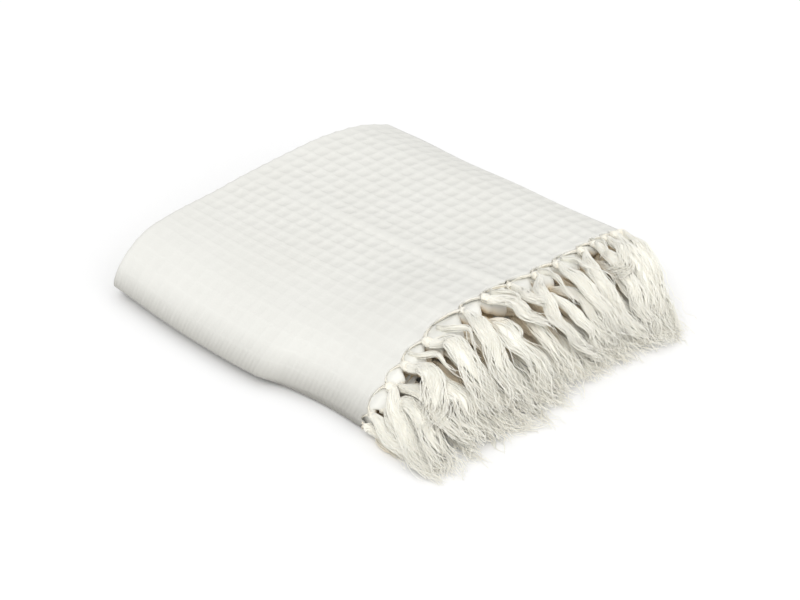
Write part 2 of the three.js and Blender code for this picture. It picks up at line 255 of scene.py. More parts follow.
class Section:
    """The stack's outline across its width, at one place along its length."""

    def __init__(self, x):
        self.x = x
        places, *columns = zip(*SECTIONS)
        self.spine, self.edge, *self.heights = (curve_through(places, column, x) for column in columns)
        self.spine += self.dent()
        self.drift = 4 * ROW_DRIFT * x / (self.edge - SPINE_START)
        self.shoulder = self.top(SPINE_START)
        self.slope = self.top(SPINE_START + 1) - self.shoulder

    def dent(self):
        """How far the spine steps in, or out where it is negative."""
        step = smoothstep(self.x, *SPINE_DENT.x)
        faded = 1 - smoothstep(self.x, SPINE_DENT.end, 0)
        return mix(-SPINE_DENT.out, SPINE_DENT.inward, step) * faded

    def top(self, y):
        return curve_through((*HEIGHT_PLACES, self.edge), self.heights, y)

    def height(self, y, depth):
        return SHEET / 2 + height_share(depth) * (self.top(y) - SHEET)

    def layer(self, layer, ply, along):
        end = self.edge - LAYER_SHORT[layer]
        if layer < 2:
            waves = ((*wave, by_ply * ply + by_layer * layer) for *wave, by_ply, by_layer in SELVEDGE_WAVES)
            end = end + ripples(self.x, waves) - SELVEDGE_BACK
        y = mix(SPINE_START, end, along)
        return np.stack([y, self.height(y, depth_of(layer, ply))], -1)

    def spine_turn(self, distance, angle):
        core = self.shoulder / 2
        widest = self.shoulder * SPINE_SAG
        reach = SPINE_START - self.spine
        size = (1 - SHEET / self.shoulder) * distance / (PILE / 2 - 0.5)
        out = np.sin(angle)
        up = np.cos(angle)
        rise = np.clip(1 - up / cos(FOOT_ANGLE), 0, 1)
        foot = (SPINE_START - SPINE_FOOT) * np.minimum(1, out / sin(FOOT_ANGLE))
        upper = widest + (self.shoulder - widest) * np.maximum(up, 0) ** SPINE_SHOULDER
        upper = upper - self.slope * reach * out * up
        y = SPINE_START - size * np.where(up > 0, reach * out, mix(foot, reach, np.sqrt(rise)))
        z = core + size * (np.where(up > 0, upper, widest * rise) - core)
        return np.stack([y, z], -1)

    def edge_fold(self, ply, angle):
        start = self.edge - LAYER_SHORT[2]
        radius = PLIES - ply
        z = self.height(start, PILE - PLIES + radius * np.cos(angle))
        return np.stack([start + EDGE_FOLD_REACH * radius * np.sin(angle) / PLIES, z], -1)


edge_section = Section(0)
middle_section = Section(FAR_END / 2)


# The rings of the cloth across its width: along the top layer to the spine, round it to the bottom layer,
# back over the fold at the open side, and round the inner turn of the spine to the second layer. Those that
# show on the outside are as many to a waffle cell as CELL_SAMPLES.
TURN_SAMPLES = 400
LAYER_RINGS = 25
INNER_TURN_RINGS = 10


def even_angles(turn, step):
    """Angles from 0 to pi that divide a turn of the outer ply evenly."""
    angles = np.linspace(0, pi, TURN_SAMPLES)
    distance = path_distance(turn(angles))
    count = round(distance[-1] / step)
    return np.interp(np.arange(1, count) * distance[-1] / count, distance, angles)


ring_step = (middle_section.edge - SPINE_START) / (CELLS_ACROSS * CELL_SAMPLES)
TOP = np.linspace(1, 0, CELLS_ACROSS * CELL_SAMPLES + 1)
OUTER_TURN = even_angles(lambda angle: middle_section.spine_turn(PILE / 2 - OUTER_PLY, angle), ring_step)
EDGE_FOLD = even_angles(lambda angle: middle_section.edge_fold(OUTER_PLY, angle), ring_step)
LAYER = np.linspace(0, 1, LAYER_RINGS)
INNER_TURN = np.linspace(pi, 0, INNER_TURN_RINGS)[1:-1]
STRETCHES = (TOP, OUTER_TURN, LAYER, EDGE_FOLD, LAYER, INNER_TURN, LAYER)
STARTS = np.cumsum([0, *map(len, STRETCHES)])
LAYER_STRETCH = (0, 6, 4, 2)  # the stretch that each layer is, from the top
STRETCH_FAR_SHORT = ((0, 0), (0, 3), (3, 3), (3, 2), (2, 2), (2, 1), (1, 1))  # layers at a stretch's ends
ring_far_short = np.concatenate([
    np.linspace(FAR_SHORT[first], FAR_SHORT[last], len(stretch))
    for stretch, (first, last) in zip(STRETCHES, STRETCH_FAR_SHORT)
])
ring_cells = np.arange(STARTS[-1]) / CELL_SAMPLES


def ring_relief():
    """How strong the waffle relief is at each ring: it shows on the outside, and fades at its ends."""
    relief = np.zeros(STARTS[-1])
    band = BAND / ring_step
    spine, floor = STARTS[1:3]
    ring = np.arange(floor)
    shown = smoothstep(ring, 0, band * FADES.edge)
    shown *= 1 - smoothstep(ring, floor - band * FADES.floor, floor)
    shown *= mix(1, SPINE_RELIEF, smoothstep(ring, spine - band * FADES.spine, spine))
    shown *= 1 - CREASE_FLAT.share * bell(ring - CREASE.ring, CREASE_FLAT.width)
    relief[:floor] = shown
    fold = np.arange(len(EDGE_FOLD))
    relief[STARTS[3]:STARTS[4]] = smoothstep(fold, 0, band) * smoothstep(len(fold) - fold, 0, band)
    return relief


def ply_path(section, ply):
    """The middle of a ply at each ring, and the sheet's normal there, which points to the outer ply."""
    path = np.concatenate([
        section.layer(0, ply, TOP + section.drift * TOP * (1 - TOP)),
        section.spine_turn(PILE / 2 - ply, OUTER_TURN),
        section.layer(3, ply, LAYER),
        section.edge_fold(ply, EDGE_FOLD),
        section.layer(2, ply, LAYER[::-1]),
        section.spine_turn(ply, INNER_TURN),
        section.layer(1, ply, LAYER),
    ])
    steps = unit(np.diff(path, axis=0))
    along = unit(np.concatenate([steps[:1], steps[1:] + steps[:-1], steps[-1:]]))
    return path, np.stack([along[:, 1], -along[:, 0]], -1)


# Knots gather the cloth's edge, which hangs in small lobes between them
WIDEST_GAP = 46  # a longer stretch without knots hangs no deeper
SLACK_ROUNDNESS = 0.8  # below 1 makes the edge between two knots blunter
SCALLOP = Values(pull=3.5, retreat=0.12)  # the edge's x at a knot, and how far back half-way, per gap
SAG = 0.1  # how much the edge drops half-way, per length of gap
# The lobes of the fold just below the edge: how far they stand out at a knot, how much more half-way, how far
# they hang and rise there, all three per length of gap, and how blunt they are
NOSE = Values(least=2.0, growth=0.36, droop=0.46, rise=0.16, roundness=0.75)
LOBE_GATHERS = ((0.12, 2.1, 0), (0.07, 1.3, 1))  # height, length and start of the small gathers in the lobes
SPREAD = Values(share=0.48, least=8)  # how much of the gaps to its sides a knot gathers, and the least gap


class Edge:
    """One end of the cloth, where a fringe hangs: its line, its normals and the knots along it."""

    def __init__(self, ply):
        self.ply = ply
        self.path, self.normal = ply_path(edge_section, ply)
        self.distance = path_distance(self.path)
        self.knots = []

    def layer_distance(self, layer, y):
        """How far along the line a place y on a layer is."""
        stretch = LAYER_STRETCH[layer]
        part = slice(STARTS[stretch], STARTS[stretch + 1])
        order = np.argsort(self.path[part, 0])
        return np.interp(y, self.path[part, 0][order], self.distance[part][order])

    def turn_distance(self, angle):
        return np.interp(angle, OUTER_TURN, self.distance[STARTS[1]:STARTS[2]])

    def at(self, distance):
        """Points and normals on the line."""
        point = [np.interp(distance, self.distance, self.path[:, k]) for k in (0, 1)]
        normal = [np.interp(distance, self.distance, self.normal[:, k]) for k in (0, 1)]
        return np.stack(point, -1), np.stack(normal, -1)

    def gap_and_slack(self, distance):
        """The length between the knots on both sides, and the slack there: 0 at a knot, 1 half-way."""
        knots = np.array(sorted(self.knots))
        i = np.clip(np.searchsorted(knots, distance) - 1, 0, len(knots) - 2)
        gap = knots[i + 1] - knots[i]
        share = np.clip((distance - knots[i]) / gap, 0, 1)
        return np.minimum(gap, WIDEST_GAP), np.sin(share * pi) ** SLACK_ROUNDNESS

    def scallop(self, distance):
        """How far the cloth's edge stands out, at distances along it."""
        gap, slack = self.gap_and_slack(distance)
        return SCALLOP.pull * (1 - slack) - SCALLOP.retreat * gap * slack

    def sag(self, distance):
        gap, slack = self.gap_and_slack(distance)
        return SAG * gap * slack

    def spread(self, distance):
        """Where the yarns start that a knot gathers, on both its sides."""
        knots = np.array(sorted(self.knots))
        i = int(np.argmin(abs(knots - distance)))
        before = distance - knots[max(i - 1, 0)]
        after = knots[min(i + 1, len(knots) - 1)] - distance
        least = SPREAD.least
        gaps = np.clip((-before, after), (-WIDEST_GAP, least), (-least, WIDEST_GAP))
        return distance + SPREAD.share * gaps


edges = (Edge(OUTER_PLY), Edge(INNER_PLY))


def even_places(layer, offset):
    last = edge_section.edge - LAYER_SHORT[layer] - LAST_TASSEL_MARGIN
    even = np.arange(FIRST_TASSEL + offset * TASSEL_PITCH, last, TASSEL_PITCH)
    return even + SPACING_WAVE.most * np.sin(even / SPACING_WAVE.length)


def lay_out_tassels():
    """All tassels with their place on the edge, and the share of the stack's height that they lie at."""
    laid = []
    plain = {"fringe": 0, "share": 1, "shown": True, "hang": 0, "arch": 0, "fray": FRAY_START}
    for y, width, arch, fray, route in TOP_ROW:
        own = {"width": width, "arch": arch, "fray": fray, "route": route}
        laid.append({**plain, **own, "distance": edges[0].layer_distance(0, y)})
    for fringe, angle, share, route in SPINE_ROW:
        own = {"fringe": fringe, "share": share, "shown": share > 0, "width": SPINE_ROW_WIDTH, "route": route}
        laid.append({**plain, **own, "distance": edges[fringe].turn_distance(angle)})
    for row in SECOND_ROW:
        shown = "route" in row
        own = {"share": SHOWN_SINK if shown else DEEP_SINK, "shown": shown, "width": EVEN_ROW_WIDTH, **row}
        distance = edges[1].layer_distance(0, row["y"])
        laid.append({**plain, "fringe": 1, "hang": SECOND_ROW_HANG, **own, "distance": distance})
    for fringe, layer, offset in EVEN_ROWS:
        share = EVEN_SINK * height_share(depth_of(layer, edges[fringe].ply))
        own = {"fringe": fringe, "share": share, "shown": False, "width": EVEN_ROW_WIDTH}
        for y in even_places(layer, offset):
            laid.append({**plain, **own, "distance": edges[fringe].layer_distance(layer, y)})
    for tassel in laid:
        edges[tassel["fringe"]].knots.append(tassel["distance"])
    for y, route in WISPS:
        distance = edges[0].layer_distance(0, y)
        laid.append({**plain, **WISP, "wisp": True, "route": route, "distance": distance})
    return laid


# The cloth
PLY_COLUMNS = 9
LENGTH_FOLD_STEPS = 8
EDGE_SAG_REACH = 34  # how far from the fringed edge the drop between knots still shows
HOLLOW_SHADE = 0.1
FOOT_SHADE = 1.0
FOOT_HEIGHT = 36  # below this the spine gets painted shade, darker towards the floor
WARM_SHADE_PLIES = (1.7, 2.4)  # painted warm shade on the cloth under the outer lobes


def ribbon_side(side):
    """Columns along the length on one face of the sheet.

    Each has its share of the length, its ply, its lift, its outward reach and its place along the ribbon.
    """
    columns = []
    for i in range(PLIES):
        turn = 1 if i % 2 == 0 else -1
        lift = side * turn * THICKNESS / 2
        count = PLY_COLUMNS
        if i == 0:
            count = CELLS_ALONG * (CELL_SAMPLES if side > 0 else 1)
        for step in range(count + 1):
            share = step / count if turn > 0 else 1 - step / count
            columns.append((share, i + 0.5, lift, 0.0, 2 * i + step / count))
        for step in range(1, LENGTH_FOLD_STEPS if i + 1 < PLIES else 0):
            angle = pi * step / LENGTH_FOLD_STEPS
            out = -turn * sin(angle) * (LENGTH_FOLD_REACH + lift)
            place = 2 * i + 1 + step / LENGTH_FOLD_STEPS
            columns.append((max(turn, 0), i + 1 - cos(angle) / 2, lift * cos(angle), out, place))
    return columns


def soft_forms(x, y):
    """Height of the crease along the middle of the top, steep in front, and of its slight unevenness."""
    past = np.arange(STARTS[-1]) - CREASE.ring
    ridge = CREASE.height * bell(past, np.where(past < 0, CREASE.back, CREASE.front))
    one, other = (x / wave[0] + y / wave[1] for wave in (TOP_WAVES.one, TOP_WAVES.other))
    uneven = TOP_WAVES.height * np.sin(one) * np.sin(other + 1)
    return ridge * smoothstep(x, *CREASE.rise) + uneven


def hollow(along, across):
    """Depth at places in cells: 0 on the ribs and about 1 in the middle of a hollow."""
    shift = np.sin(CELL_SHIFT.across * across + CELL_SHIFT.along * along)
    sunk = [np.abs(np.sin(pi * cells)) ** ROUNDNESS for cells in (along + CELL_SHIFT.most * shift, across)]
    in_front = FRONT.share * smoothstep(across, *FRONT.rows)
    wave = np.sin(CELL_WAVE.along * along) * np.sin(CELL_WAVE.across * across)
    return mix(sunk[0], 1, in_front) * sunk[1] ** (1 - in_front) * (1 + CELL_WAVE.most * wave)


def cloth_side(columns, right):
    """Points of one face by ring and column, the weave's place there, and its painted shade, painted warm
    shade and painted light.
    """
    edge = edges[0]
    across = path_distance(ply_path(middle_section, OUTER_PLY)[0])
    relief = ring_relief()
    gap, slack = edge.gap_and_slack(edge.distance)
    lobe = gap * slack ** NOSE.roundness * (1 + ripples(edge.distance, LOBE_GATHERS))
    nose = (NOSE.least + NOSE.growth * lobe) / LENGTH_FOLD_REACH
    highest = max(edge_section.heights)
    rows = []
    for i, (share, ply, lift, out, _) in enumerate(columns):
        flat_x = share * FAR_END
        path, normal = ply_path(Section(flat_x), ply)
        along = np.stack([-normal[:, 1], normal[:, 0]], -1)
        outside = right and ply < OUTER_PLY + 1
        sunk = np.zeros(len(path))
        if outside:
            fade = mix(FAR_RELIEF, 1, smoothstep(flat_x - FAR_END, 0, FAR_FADE))
            fade = fade * smoothstep(-flat_x, 0, BAND)
            sunk = hollow(i / CELL_SAMPLES, ring_cells) * relief * fade
        offset = lift + CELL_DEPTH * (RIB_LIFT * relief - sunk) * outside
        drift = ripples(flat_x, ROW_RIPPLES)
        place = path + normal * offset[:, None] + along * (drift * relief)[:, None]
        reach = out * nose if out > 0 else out
        sway = ripples(across, COLUMN_RIPPLES) * smoothstep(-flat_x, 0, RIPPLE_START)
        x = share * (FAR_END + ring_far_short) + reach + sway
        if ply in (OUTER_PLY, INNER_PLY):
            own = edges[int(ply > 1)]
            x = x + own.scallop(own.distance) * max(0, 1 + flat_x / BAND)
        lifted = np.clip(place[:, 1] / highest, 0, 1)
        fall = edge.sag(edge.distance) * max(0, 1 + flat_x / EDGE_SAG_REACH) ** 2
        z = place[:, 1] + lifted * (soft_forms(x, place[:, 0]) - fall)
        if out > 0:
            lower = ply - OUTER_PLY - 1
            reached = out / (LENGTH_FOLD_REACH + THICKNESS / 2)
            off_floor = np.clip(place[:, 1] / FOOT_HEIGHT, 0, 1)
            z = z + off_floor * reached * lobe * mix(NOSE.rise, -NOSE.droop, lower)
        points = np.stack([x, place[:, 0], np.maximum(z, 0)], -1)
        weave = np.stack([np.full(len(path), -flat_x + abs(out)), across], -1)
        # painted shade: darker in the weave's hollows and on the spine towards the floor
        foot = (1 - smoothstep(z, 0, FOOT_HEIGHT)) * (outside and ply < 1)
        shade = HOLLOW_SHADE * sunk + FOOT_SHADE * foot
        # painted warm shade: the cloth is tinted tan under the outer lobes near the fringed edge
        warm_shade = smoothstep(flat_x, -2 * BAND, 0) * smoothstep(ply, *WARM_SHADE_PLIES)
        # the last value marks the lobes of the fold, which get painted light
        rows.append((points, weave, shade, np.full(len(path), warm_shade), np.full(len(path), float(out > 0))))
    return [np.stack(part, 1) for part in zip(*rows)]


def end_faces(front, back):
    """The thin end of the ribbon as faces between matching columns of its two sides."""
    count = len(front)
    places = [np.array([column[-1] for column in columns]) for columns in (front, back)]
    matches = np.searchsorted(places[0], places[1] - 0.5 / count)
    faces = []
    for j in range(1, len(back)):
        upper = list(range(matches[j - 1], matches[j] + 1))
        faces.append([*upper, count + j, count + j - 1])
    return faces


def cloth_mesh():
    """The cloth as points and faces, with the weave's place and the tints of painted shade and light at each
    point.
    """
    front, back = ribbon_side(1), ribbon_side(-1)
    parts = [np.concatenate(pair, 1) for pair in zip(cloth_side(front, True), cloth_side(back, False))]
    rings, total = parts[2].shape
    around = np.concatenate([np.arange(len(front)), np.arange(total - 1, len(front) - 1, -1)])
    ahead = np.roll(around, -1)
    start = np.arange(rings - 1)[:, None] * total
    quads = np.stack([start + around, start + ahead, start + total + ahead, start + total + around], -1)
    faces = quads.reshape(-1, 4).tolist()
    for face in end_faces(front, back):
        faces.append(face[::-1])
        faces.append([(rings - 1) * total + corner for corner in face])
    points, weave, *tints = (part.reshape(rings * total, -1) for part in parts)
    return points, faces, weave, dict(zip(("shade", "warm_shade", "plain"), map(np.ravel, tints)))


# The fringes
YARN_RADIUS = 0.44
YARN_TAPER = 0.55  # what a yarn loses of its radius to its tip
TUBE_REFERENCE = np.array([0.31, 0.17, 0.93])  # hardly any yarn runs this way
KNOT_PLACE = 9.5  # distance of a knot's middle from the edge
KNOT_LIFT = 1.5
KNOT_EXIT = 4  # from its middle to where the lock leaves it
KNOT = Values(length=10, width=10.5, height=8.5, yarn=1.0, scale=(0.74, 1))
WRAP = Values(points=14, sides=4, spread=0.36, uneven=0.3, slant=(0.8, 2.2), lean=0.5)
WRAP_TAPER = 1.7  # to a knot's ends
LEAST_WRAP = 0.2
KNOT_CORE = Values(reach=0.45, profile=(0.5, 0.9, 1, 0.9, 0.5), sides=6)
PLAIN_ROUTE = Values(start=12, points=4, uneven=(-8, 5), curl=(4, 13), turn=(2, 7))
PROFILE_POINTS = 24
ROUTE_POINTS = 24
LOCK_POINTS = 40
LOCK_THICK = 6.5
LOCK_LIFT = 1.5
LOCK_SETTLED = 18  # distance from the knot where a lock lies on the heap
LOCK_BEND = Values(most=1.6, length=(5, 10), range=(0.1, 0.5))
LOCK_NECK = Values(width=0.4, end=0.25)  # shares of a lock's width and length
LOCK_SPLAY = Values(most=0.5, growth=1.5)
TIP_THINNING = 0.35
ARCH_SKEW = 0.8  # below 1 moves an arch towards the tip
WISP_LOCK = Values(yarns=7, clumps=2, points=18, core_rings=12, core_sides=5)
SHOWN_LOCK = Values(yarns=70, clumps=9, points=25, core_rings=16, core_sides=12, wraps=7)
HIDDEN_LOCK = Values(yarns=34, clumps=6, points=16, core_rings=9, core_sides=8, wraps=4)
CORE = Values(size=0.87, loss=0.8, tapers=0.4, end=0.74)  # the last two of a lock's length
FURROW = Values(depth=0.13, range=(0.7, 1.1), wave=0.05, length=(4, 9))  # along a core, of its size
SHORTEST_CLUMP = 0.74  # of a lock's length
YARN_ENDS = (0.9, 1.06)  # range of the yarns in a clump, of the clump's length
FRAY_START = 0.48
FREED = (0.05, 0.3)  # shares of the length over which yarns come loose from the knot
TWIST = 0.6
WANDER = Values(most=0.42, length=(6, 13))  # of yarns round a lock, in radians
UNEVEN = Values(most=0.1, length=(4, 9))
CLUMP = Values(drift=2.4, sway=1.8, length=(5, 11))
FRAY = Values(drift=2.4, growth=1.5, crimp=1.9)
STRAY = Values(share=0.2, drift=6, start=0.15, crimp=2.6, rise=0.3)
MOST_DRIFT = 1.5  # in standard deviations
CRIMP = Values(least=0.45, length=(2.5, 6), rise=0.7)
GATHER = Values(count=18, points=6, out=-0.2, drop=0.7, thick=1.8, uneven=0.9, entry=2)
GATHER_BEND = Values(along=0.7, out=2.2, up=1.5)  # powers, on the way to the knot
# Darkest and palest tone of a tassel's parts; the darker gather yarns and knot cores are painted shade in the
# crevice along the edge and between the wraps
TONES = {
    "core": (0.92, 1), "shown": (0.86, 1), "hidden": (0.82, 1),
    "gather": (0.62, 0.92), "wrap": (0.72, 0.92), "knot": (0.5, 0.7),
}
TAN_SHADE = Values(most=0.7, depth=(6, 14), fade=(38, 60))  # painted tan shade on yarns deep in the heap near the knots: its most, the depth in the heap, and x where it fades


def tube_faces(count, length, sides):
    """Faces of count tubes of length rings each, with both ends closed."""
    first = np.arange(count)[:, None, None] * length * sides
    ring_start = first + np.arange(length - 1)[None, :, None] * sides
    here = ring_start + np.arange(sides)
    ahead = ring_start + np.roll(np.arange(sides), -1)
    quads = np.stack([here, here + sides, ahead + sides, ahead], -1).reshape(-1, 4)
    head = first[:, 0] + np.arange(sides)
    tail = first[:, 0] + (length - 1) * sides + np.arange(sides)[::-1]
    return [quads, head, tail]


def tubes(paths, radii, sides=3):
    """Joined tubes along paths of equally many points, as points and faces."""
    paths = np.asarray(paths, float)
    count, length = paths.shape[:2]
    along = unit(np.gradient(paths, axis=1))
    side = unit(np.cross(along, TUBE_REFERENCE))
    up = np.cross(side, along)
    turn = 2 * pi * np.arange(sides) / sides
    ring = side[:, :, None] * np.cos(turn)[:, None] + up[:, :, None] * np.sin(turn)[:, None]
    points = paths[:, :, None] + ring * np.broadcast_to(radii, (count, length))[:, :, None, None]
    return points.reshape(-1, 3), tube_faces(count, length, sides)


def along_route(route, shares):
    """Points at shares of the length of a smooth curve through a route's points."""
    route = np.asarray(route, float)
    places = path_distance(route)
    at = np.asarray(shares) * places[-1]
    return np.stack([curve_through(places, route[:, k], at) for k in range(route.shape[1])], -1)


spine_profile = edge_section.spine_turn(PILE / 2 - OUTER_PLY, np.linspace(pi / 2, 0, PROFILE_POINTS))


def heap_height(x, y):
    """Height of the heap of tassels over the floor."""
    over_spine = np.interp(y, spine_profile[:, 0], spine_profile[:, 1] + SHEET / 2)
    stack = np.where(y < SPINE_START, over_spine, edge_section.top(y))
    inner = smoothstep(y, edge_section.spine, SPINE_START) * (1 - smoothstep(y, *OPEN_CORNER))
    tip = mix(CORNER_TIP_HEIGHT, TIP_HEIGHT, inner)
    fallen = np.clip((x - DROOP_START) / (TASSEL_REACH - DROOP_START), 0, 1)
    return mix(tip, stack, (1 + np.cos(fallen * pi)) / 2)


def knot_middle(tassel):
    """The middle of a tassel's knot, or the start of a loose end at the cloth's edge."""
    point, normal = edges[tassel["fringe"]].at(tassel["distance"])
    y, z = point + normal * KNOT_LIFT
    hang = tassel["hang"]
    if "wisp" in tassel:
        return np.array([tassel["start"], point[0], point[1] - edges[0].sag(tassel["distance"])])
    if "out" in tassel:
        x = KNOT_PLACE + tassel["out"]
        return np.array([x, y, heap_height(x, y) - KNOT.height / 2])
    return np.array([KNOT_PLACE + hang / 2, y, max(z - hang, KNOT.height / 2 + KNOT.yarn)])


def plain_route(tassel, middle):
    """The route in plan of a lock in an even row: out from its knot with some sway and curl."""
    y = middle[1]
    reach = TASSEL_REACH - TOP_TASSEL_LOSS * tassel["share"] + rng.uniform(*PLAIN_ROUTE.uneven)
    reach = reach + CORNER_REACH * smoothstep(y, *OPEN_CORNER)
    out = np.linspace(middle[0] + PLAIN_ROUTE.start, reach, PLAIN_ROUTE.points)
    share = out / TASSEL_REACH
    lean = sum(most * smoothstep(y, *ends) for most, ends in LEANS) * share**LEAN_GROWTH
    curl = rng.uniform(*PLAIN_ROUTE.curl) * share
    curl = curl * np.sin(share * rng.uniform(*PLAIN_ROUTE.turn) + rng.uniform(0, 2 * pi))
    return np.stack([out, y + lean + curl], -1)


def lock_route(tassel):
    """The middle of a lock, from inside its knot to its tip, as points in space."""
    middle = knot_middle(tassel)
    plan = tassel["route"] if "route" in tassel else plain_route(tassel, middle)
    plan = along_route(np.vstack([middle[:2] + (KNOT_EXIT, 0), plan]), np.linspace(0, 1, ROUTE_POINTS))
    half = LOCK_THICK / 2
    share = tassel["share"]
    if tassel["fringe"] == 1 and tassel["shown"]:
        share = mix(RECESS.share, share, smoothstep(plan[:, 0], *RECESS.x))
    lying = half + share * np.maximum(0, heap_height(plan[:, 0], plan[:, 1]) - 2 * half + LOCK_LIFT)
    arch = tassel["arch"] * np.sin(np.linspace(0, pi, len(plan)) ** ARCH_SKEW)
    settled = smoothstep(plan[:, 0], middle[0], middle[0] + LOCK_SETTLED)
    return np.vstack([middle, np.column_stack([plan, mix(middle[2], lying + arch, settled)])])


class Lock:
    """The bundle of yarns that hangs from a knot: its middle line and its size along it."""

    def __init__(self, tassel):
        self.width = tassel["width"] / 2
        self.fray = tassel["fray"]
        self.share = np.linspace(0, 1, LOCK_POINTS)
        self.middle = along_route(lock_route(tassel), self.share)
        self.length = path_distance(self.middle)[-1]
        bend = waves(1, self.length * self.share, *LOCK_BEND.length)[0]
        self.middle[:, 1] += LOCK_BEND.most * bend * smoothstep(self.share, *LOCK_BEND.range)
        self.along = unit(np.gradient(self.middle, axis=0))
        self.level = unit(np.cross((0, 0, 1), self.along))
        self.up = np.cross(self.along, self.level)

    def size(self, share):
        """Half-width and half-thickness at shares of the length."""
        neck = mix(LOCK_NECK.width, 1, smoothstep(share, 0, LOCK_NECK.end))
        splay = 1 + LOCK_SPLAY.most * share ** LOCK_SPLAY.growth
        return self.width * neck * splay, LOCK_THICK / 2 * (1 - TIP_THINNING * share)

    def place(self, share, across, rise):
        """Points at shares of the length, that far across the lock and up from its middle."""
        at = np.clip(share, 0, 1)
        middle, level, up, along = (
            np.stack([np.interp(at, self.share, vectors[:, k]) for k in range(3)], -1)
            for vectors in (self.middle, self.level, self.up, self.along)
        )
        beyond = ((share - at) * self.length)[..., None]
        points = middle + beyond * along + across[..., None] * level + rise[..., None] * up
        points[..., 2] = np.maximum(points[..., 2], YARN_RADIUS)
        return points


def waves(count, at, shortest, longest):
    """A sine with its own length and start for each of count strands, along distances."""
    length = rng.uniform(shortest, longest, (count, 1))
    return np.sin(at / length + rng.uniform(0, 2 * pi, (count, 1)))


def lock_core(lock, kind):
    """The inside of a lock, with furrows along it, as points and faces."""
    rings, sides = kind.core_rings, kind.core_sides
    share = np.linspace(0, CORE.end, rings)[:, None]
    turn = 2 * pi * np.arange(sides) / sides
    width, thick = lock.size(share)
    furrow = 1 + FURROW.depth * rng.normal(0, 1, sides)
    furrow = furrow + FURROW.wave * waves(sides, lock.length * share.T, *FURROW.length).T
    taper = CORE.size - CORE.loss * smoothstep(share, CORE.tapers, CORE.end)
    size = np.clip(furrow, *FURROW.range) * taper
    share = np.broadcast_to(share, size.shape)
    points = lock.place(share, width * np.cos(turn) * size, thick * np.sin(turn) * size)
    return points.reshape(-1, 3), tube_faces(1, rings, sides)


def lock_yarns(lock, kind):
    """The paths of the yarns round a lock, which lie side by side, and part in clumps towards their tips."""
    count, clumps = kind.yarns, kind.clumps
    clump = np.arange(count) * clumps // count
    reach = rng.uniform(SHORTEST_CLUMP, 1, (clumps, 1))[clump] * rng.uniform(*YARN_ENDS, (count, 1))
    share = np.linspace(0, 1, kind.points) * reach
    run = lock.length * share
    turn = 2 * pi * (np.arange(count)[:, None] + rng.uniform(-0.5, 0.5, (count, 1))) / count
    frayed = smoothstep(share, lock.fray, 1)
    freed = smoothstep(share, *FREED)
    turn = turn + rng.uniform(-TWIST, TWIST) * share
    turn = turn + WANDER.most * waves(count, run, *WANDER.length) * freed
    round_core = 1 + UNEVEN.most * waves(count, run, *UNEVEN.length)
    depth = mix(round_core, np.sqrt(rng.uniform(0, 1, (count, 1))), frayed)
    width, thick = lock.size(share)
    is_stray = rng.uniform(0, 1, (count, 1)) < STRAY.share
    strayed = STRAY.drift * smoothstep(share, STRAY.start, 1)
    loosened = np.where(is_stray, strayed, FRAY.drift * frayed ** FRAY.growth)
    drift = np.clip(rng.normal(0, 1, (count, 1)), -MOST_DRIFT, MOST_DRIFT) * loosened
    parted = rng.normal(0, 1, (clumps, 1))[clump] * CLUMP.drift * frayed
    sway = waves(clumps, lock.length * share[:clumps], *CLUMP.length)[clump]
    parted = parted + sway * CLUMP.sway * frayed
    crimp = np.where(is_stray, STRAY.crimp, FRAY.crimp) * frayed + CRIMP.least * freed
    across = width * depth * np.cos(turn) + drift + parted + waves(count, run, *CRIMP.length) * crimp
    rise = thick * depth * np.sin(turn) + STRAY.rise * np.abs(drift)
    rise = rise + waves(count, run, *CRIMP.length) * CRIMP.rise * crimp
    return lock.place(share, across, rise)


def gather_yarns(tassel):
    """Yarns that run along the cloth's edge from both sides and into a knot."""
    edge = edges[tassel["fringe"]]
    here = tassel["distance"]
    starts = np.linspace(*edge.spread(here), GATHER.count)[:, None]
    share = np.linspace(0, 1, GATHER.points)
    distance = mix(starts, here, share ** GATHER_BEND.along)
    point, normal = edge.at(distance)
    fall = edge.sag(distance) * (1 - share**2) * (tassel["fringe"] == 0)
    middle = knot_middle(tassel)
    x = mix(edge.scallop(distance) + GATHER.out, middle[0] - GATHER.entry, share ** GATHER_BEND.out)
    y = point[:, :, 0] + normal[:, :, 0] * KNOT_LIFT * share
    low = point[:, :, 1] - fall - GATHER.drop
    uneven = rng.uniform(-GATHER.uneven, GATHER.uneven, starts.shape)
    z = mix(low, middle[2], share ** GATHER_BEND.up) + uneven
    return np.stack([x, y, np.maximum(z, YARN_RADIUS * GATHER.thick)], -1)


def knot_yarns(middle, count, scale):
    """Yarns wound round a knot, all with the same slant."""
    turn = np.linspace(0, 2 * pi, WRAP.points)
    place = np.linspace(-WRAP.spread, WRAP.spread, count)[:, None] * KNOT.length
    place = place + rng.uniform(-WRAP.uneven, WRAP.uneven, (count, 1))
    slant = rng.uniform(*WRAP.slant) * rng.choice((-1, 1))
    x = place + slant * np.cos(turn + rng.uniform(0, 2 * pi))
    size = np.sqrt(np.maximum(LEAST_WRAP, 1 - (WRAP_TAPER * x / KNOT.length) ** 2))
    y = size * np.cos(turn) * (KNOT.width / 2 - KNOT.yarn)
    z = size * np.sin(turn) * (KNOT.height / 2 - KNOT.yarn)
    lean = rng.uniform(-WRAP.lean, WRAP.lean)
    return middle + scale * np.stack([x * cos(lean) - y * sin(lean), x * sin(lean) + y * cos(lean), z], -1)


def knot_core(middle, scale):
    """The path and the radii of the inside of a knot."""
    radii = scale * (KNOT.height / 2 - KNOT.yarn) * np.array(KNOT_CORE.profile)
    place = np.linspace(-KNOT_CORE.reach, KNOT_CORE.reach, len(radii))[:, None]
    return (middle + scale * place * np.array([KNOT.length, 0, 0]))[None], radii


